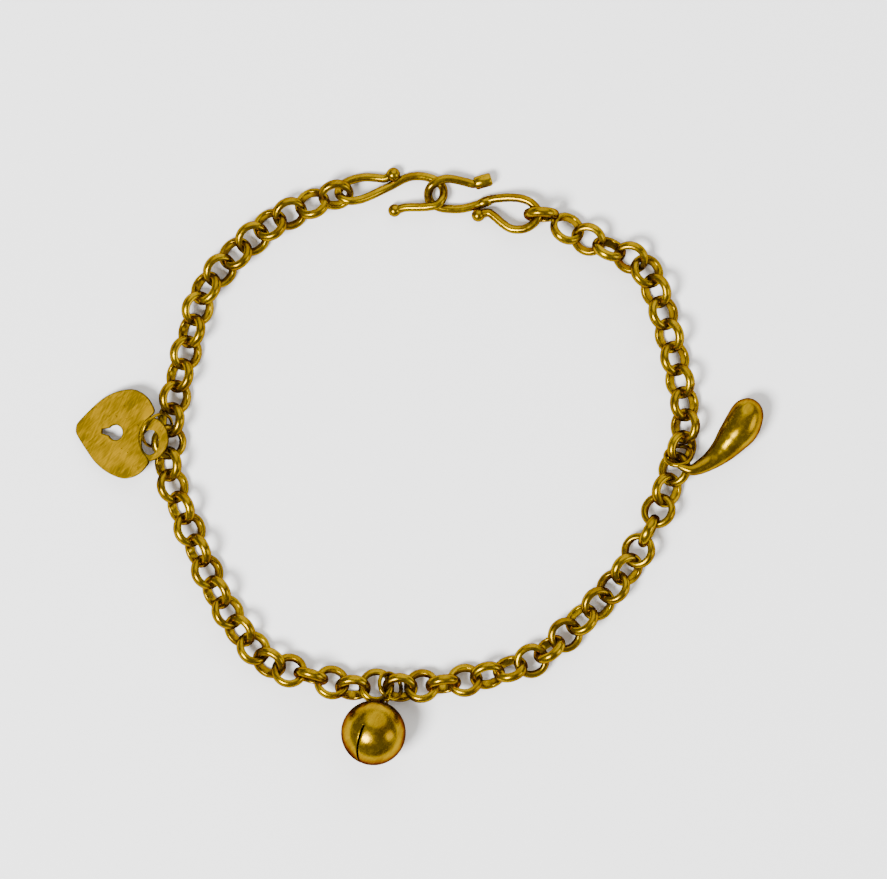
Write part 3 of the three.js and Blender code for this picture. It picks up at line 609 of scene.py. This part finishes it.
# %% A plate from outlines
def inset(outline, distance):
    """Each point moved along its outline's inward normal."""
    heading = unit(np.roll(outline, -1, 0) - np.roll(outline, 1, 0))
    x, y = outline.T
    area = np.sum(x * np.roll(y, -1) - np.roll(x, -1) * y)
    inward = np.column_stack([-heading[:, 1], heading[:, 0]]) * np.sign(area)
    return outline + distance * inward


def plate(outline, holes, low, high, round_edge):
    """Top and bottom are filled between the outlines moved in by the edge's radius, and each
    outline carries a quarter round above and below."""
    parts, loops = [], []
    quarter = np.linspace(0, np.pi / 2, 5)
    out = round_edge * (1 - np.cos(quarter))
    up = round_edge * np.sin(quarter)
    profile = [(d, low + round_edge - z) for d, z in zip(out[::-1], up[::-1])]
    profile += [(d, high - round_edge + z) for d, z in zip(out, up)]
    for shape, sign in [(outline, 1)] + [(hole, -1) for hole in holes]:
        rings = [np.column_stack([inset(shape, sign * d), np.full(len(shape), z)])
                 for d, z in profile]
        parts.append((np.concatenate(rings), grid_faces(len(rings), len(shape))))
        loops.append(inset(shape, sign * round_edge))
    points = np.concatenate(loops)
    starts = np.cumsum([0] + [len(one) for one in loops])
    edges = [(a + start, (a + 1) % len(one) + start)
             for one, start in zip(loops, starts) for a in range(len(one))]
    filled = delaunay_2d_cdt([Vector(p) for p in points], edges, [], 0, 1e-6)
    flat = np.array([tuple(p) for p in filled[0]])
    triangles = np.array(filled[2])
    centre = flat[triangles].mean(1)
    keep = inside(centre, loops[0])
    for hole in loops[1:]:
        keep &= ~inside(centre, hole)
    triangles = triangles[keep]
    for z, order in ((high, 1), (low, -1)):
        parts.append((np.column_stack([flat, np.full(len(flat), z)]), triangles[:, ::order]))
    return parts


def inside(points, outline):
    """A point is inside where a line from it to the far right crosses the outline an odd number
    of times."""
    a, b = outline, np.roll(outline, -1, 0)
    above = (a[None, :, 1] > points[:, 1, None]) != (b[None, :, 1] > points[:, 1, None])
    slope = (b[:, 0] - a[:, 0]) / np.where(b[:, 1] == a[:, 1], 1e-12, b[:, 1] - a[:, 1])
    crossing = a[None, :, 0] + (points[:, 1, None] - a[None, :, 1]) * slope[None, :]
    return np.sum(above & (points[:, 0, None] < crossing), axis=1) % 2 == 1


# %% Lean the heart on the chain
ca, sa = np.cos(np.radians(HEART_ANGLE)), np.sin(np.radians(HEART_ANGLE))
heading, aside = np.array([ca, sa, 0.0]), np.array([-sa, ca, 0.0])
support = in_link(15, 0, link_inner + LINK_THICK / 2, -0.46 * LINK_WIDE)
past_hole = RING_PAST_HOLE[0] * heading + RING_PAST_HOLE[1] * aside
hole_middle = heart_ring_middle * [1, 1, 0] - past_hole
heart_tilt = 0.0
for _ in range(8):
    reach = TAB_HOLE_AT * np.cos(heart_tilt) + (support - hole_middle) @ heading
    heart_tilt = np.arctan2(support[2] + REST_GAP, reach)
heart_tip = hole_middle - TAB_HOLE_AT * np.cos(heart_tilt) * heading + TAB_HOLE_OFF * aside
ct, st = np.cos(heart_tilt), np.sin(heart_tilt)
heart_axes = np.array([[ct * ca, ct * sa, st], [-sa, ca, 0], [-st * ca, -st * sa, ct]])


def on_heart(parts):
    """Plate axes to the sheet: x along the heart, y across it, z up from its back."""
    return [(points @ heart_axes + heart_tip, faces) for points, faces in parts]


heart = piece("heart", on_heart(
    plate(heart_outline, [keyhole], 0, HEART_THICK, PLATE_EDGE)
    + plate(tab_outline, [tab_hole], TAB_SUNK, TAB_THICK, TAB_EDGE)),
    satin, ["heart_charm"])
faces_up = np.abs(np.array([p.normal for p in heart.data.polygons]) @ heart_axes[2])
heart.data.polygons.foreach_set("use_smooth", faces_up < 0.999)
print("heart leans", round(float(np.degrees(heart_tilt)), 1), "degrees")

# %% [markdown]
# ## The bell
# A jingle bell is a hollow ball with a slit round half of it. The grid's poles are set square to
# the slit, so the slit's edges are two of its rows: the rows between them are left out on the
# far half. The wall is then given its thickness.

# %% Sizes and axes of the bell
BELL, BELL_WALL, BELL_SLIT = 7.3, 0.35, 0.27
BELL_LOOP, BELL_LOOP_WIRE, BELL_LOOP_SEAT, BELL_LOOP_SLACK = 1.42, 0.27, 0.1, 0.05
BELL_ANGLE, BELL_TURN = 66, 22
BELL_LIP, SHARP_EDGE = 0.05, 50
in_plan = np.array([np.cos(np.radians(BELL_ANGLE)), np.sin(np.radians(BELL_ANGLE)), 0.0])
spoke = unit(-in_plan - bell_ring_axis * (-in_plan @ bell_ring_axis))
hanging = bell_ring_middle + spoke * (BELL_RING - BELL_RING_WIRE) / 2
loop_middle = hanging - in_plan * BELL_LOOP_SLACK + np.array([0, 0, BELL_LOOP_SLACK])
loop_reach = BELL / 2 + BELL_LOOP / 2 - BELL_LOOP_SEAT
level = np.sqrt(loop_reach**2 - (BELL / 2 - loop_middle[2]) ** 2)
bell_middle = loop_middle - in_plan * level
bell_middle[2] = BELL / 2
bell_axis = unit(loop_middle - bell_middle)
sideways = unit(np.cross(bell_axis, [0, 0, 1.0]))


def turned(vector, axis, degrees):
    """Rodrigues: v cos a + (k x v) sin a + k (k . v)(1 - cos a)."""
    a = np.radians(degrees)
    kept = axis * (axis @ vector) * (1 - np.cos(a))
    return vector * np.cos(a) + np.cross(axis, vector) * np.sin(a) + kept


slit_normal = turned(sideways, bell_axis, -BELL_TURN)
slit_across = np.cross(slit_normal, bell_axis)
print("bell middle", bell_middle.round(2))


# %% The bell's shell with its slit
def slit_shell(radius, half_slit, lats=26, around=112):
    """Latitude is measured from the slit's plane: x = R sin l, and the rows stop at the slit on
    both sides. The strip between them is only on the near half."""
    edge = np.arcsin(half_slit / radius)
    halves = []
    for sign in (1, -1):
        lat = np.pi / 2 - (np.pi / 2 - edge) * (np.linspace(0, 1, lats) ** 0.9)
        halves.append(sign * lat)
    m = angles(around)[None, :]
    lat = np.concatenate([halves[0], halves[1][::-1]])[:, None]
    shape = [np.sin(lat) + 0 * m, np.cos(lat) * np.sin(m), np.cos(lat) * np.cos(m)]
    local = radius * np.stack(np.broadcast_arrays(*shape), -1)
    faces = grid_faces(2 * lats, around).reshape(2 * lats - 1, around, 4)
    near = np.sin(m[0] + np.pi / around) > 0
    keep = np.ones((2 * lats - 1, around), bool)
    keep[lats - 1] = near
    return local.reshape(-1, 3), faces[keep]


local, shell_faces = slit_shell(BELL / 2, BELL_SLIT / 2)
bell_axes = np.stack([slit_normal, bell_axis, slit_across])
shell_points = local @ bell_axes + bell_middle
bell = piece("bell", [(shell_points, outward(shell_points - bell_middle, shell_faces))],
             polished, ["bell_charm"])
wall = bell.modifiers.new("wall", "SOLIDIFY")
wall.thickness = BELL_WALL * MM
wall.offset = -1
lip = bell.modifiers.new("lip", "BEVEL")
lip.width = BELL_LIP * MM
lip.segments = 3
lip.limit_method = "ANGLE"
lip.angle_limit = np.radians(SHARP_EDGE)
piece("bell_loop", [torus(BELL_LOOP, BELL_LOOP_WIRE, loop_middle, sideways, 14, 60)],
      polished, ["bell_charm"], welded=False)

# %% [markdown]
# ## The drop
# The drop is forged from one rod: a fat round end drawn out to a wire, which is bent round into
# the loop that holds it on the chain. It is wire whose thickness changes along its path.

# %% The drop's line and thickness
DROP, DROP_LOOP, DROP_LOOP_WIRE = 4.12, 3.52, 0.52
END_LONG, END_CURVE, END_FULL = 0.09, 0.19, 0.976  # the round end, in shares of line and radius
drop_ring_middle = in_link(50, -0.91, -0.47, -0.3)
drop_ring_axis = heading_in_link(50, 0.67, -0.68, -0.3)
line_rows = np.array([
    (37.6, 7.61, 0), (36.84, 5.96, 0), (36.17, 4.5, 0), (35.19, 3.23, 0), (34.12, 1.94, 0.06),
    (32.75, 0.75, 0.32), (31.39, -0.06, 0.78), (30.34, -0.32, 1.08),
])
thickness_rows = np.array([
    (0.0, 0.0), (0.012, 0.36), (0.045, 0.64), (0.09, 0.83), (0.16, 0.95), (0.28, 1.0), (0.41, 0.87),
    (0.55, 0.67), (0.69, 0.49), (0.82, 0.36), (0.91, 0.24), (0.985, 0.14), (1.0, 0.1),
])
toward_tail = unit(np.array([0, -1.0, 0]) - drop_ring_axis * -drop_ring_axis[1])
tail = drop_ring_middle + toward_tail * (DROP_LOOP - DROP_LOOP_WIRE) / 2
low = DROP / 2
line = line_rows.copy()
line[:, 2] = low + line_rows[:, 2] * (tail[2] - low)
drop_path = spline(np.vstack([line, tail]), 200)
share = np.concatenate([[0], np.cumsum(np.linalg.norm(np.diff(drop_path, axis=0), axis=1))])
share /= share[-1]
thick = np.maximum(smooth_through(thickness_rows, share)[:, 0], 0) * low
ends = share < END_LONG
thick[ends] = low * END_FULL * np.sqrt(np.clip(1 - (1 - share[ends] / END_CURVE) ** 2, 0, 1))
piece("drop", [
    wire(drop_path, thick, around=40, rounded=False),
    torus(DROP_LOOP, DROP_LOOP_WIRE, drop_ring_middle, drop_ring_axis, 16, 96),
], polished, ["drop_charm"])

# %% [markdown]
# ## Table, light and camera
# The bracelet lies on a plain pale table and is seen from straight above. Polished gold shows
# what is around it, so a few broad soft lamps stand round the table and leave dark between them.

# %% Table
table_mesh = bpy.data.meshes.new("table")
TABLE = 2  # from its middle to each side, in metres
corners = [(-TABLE, -TABLE, 0), (TABLE, -TABLE, 0), (TABLE, TABLE, 0), (-TABLE, TABLE, 0)]
table_mesh.from_pydata(corners, [], [(0, 1, 2, 3)])
table = bpy.data.objects.new("table", table_mesh)
bpy.context.scene.collection.objects.link(table)
pale = bpy.data.materials.new("pale_table")
pale.use_nodes = True
pale_shader = pale.node_tree.nodes["Principled BSDF"]
pale_shader.inputs["Base Color"].default_value = (1.0, 1.0, 1.0, 1)
pale_shader.inputs["Roughness"].default_value = 0.9
table_mesh.materials.append(pale)

# %% Soft lamps
world = bpy.data.worlds.new("studio")
bpy.context.scene.world = world
world.use_nodes = True
sky = world.node_tree.nodes["Background"]
sky.inputs["Color"].default_value = (1, 1, 1, 1)
sky.inputs["Strength"].default_value = 0.4


def lamp(name, place, size, watts):
    """A round soft lamp at a place in metres, facing the middle of the table."""
    data = bpy.data.lights.new(name, "AREA")
    data.size = size
    data.energy = watts
    data.shape = "DISK"
    made = bpy.data.objects.new(name, data)
    made.location = place
    made.rotation_euler = (-Vector(place)).to_track_quat("-Z", "Y").to_euler()
    bpy.context.scene.collection.objects.link(made)


lamp("key", (-0.4, -0.3, 0.76), 0.34, 22)
lamp("far_fill", (0.15, 0.75, 0.55), 1.3, 9)
lamp("side_fill", (0.8, -0.15, 0.45), 0.5, 3)

# %% Camera straight above
VIEW_WIDTH = 99.79  # in mm
CAMERA_HEIGHT = 0.7  # above the chain's tops, in metres
SENSOR = 36
view_middle = to_model([2.7, 3.09, 1.3])
camera_data = bpy.data.cameras.new("camera")
camera_data.sensor_width = SENSOR
camera_data.lens = SENSOR * CAMERA_HEIGHT / (VIEW_WIDTH * MM)
camera_data.clip_start = 0.05
camera_data.clip_end = 10
camera = bpy.data.objects.new("camera", camera_data)
camera.location = (view_middle[0], view_middle[1], view_middle[2] + CAMERA_HEIGHT)
bpy.context.scene.collection.objects.link(camera)
bpy.context.scene.camera = camera
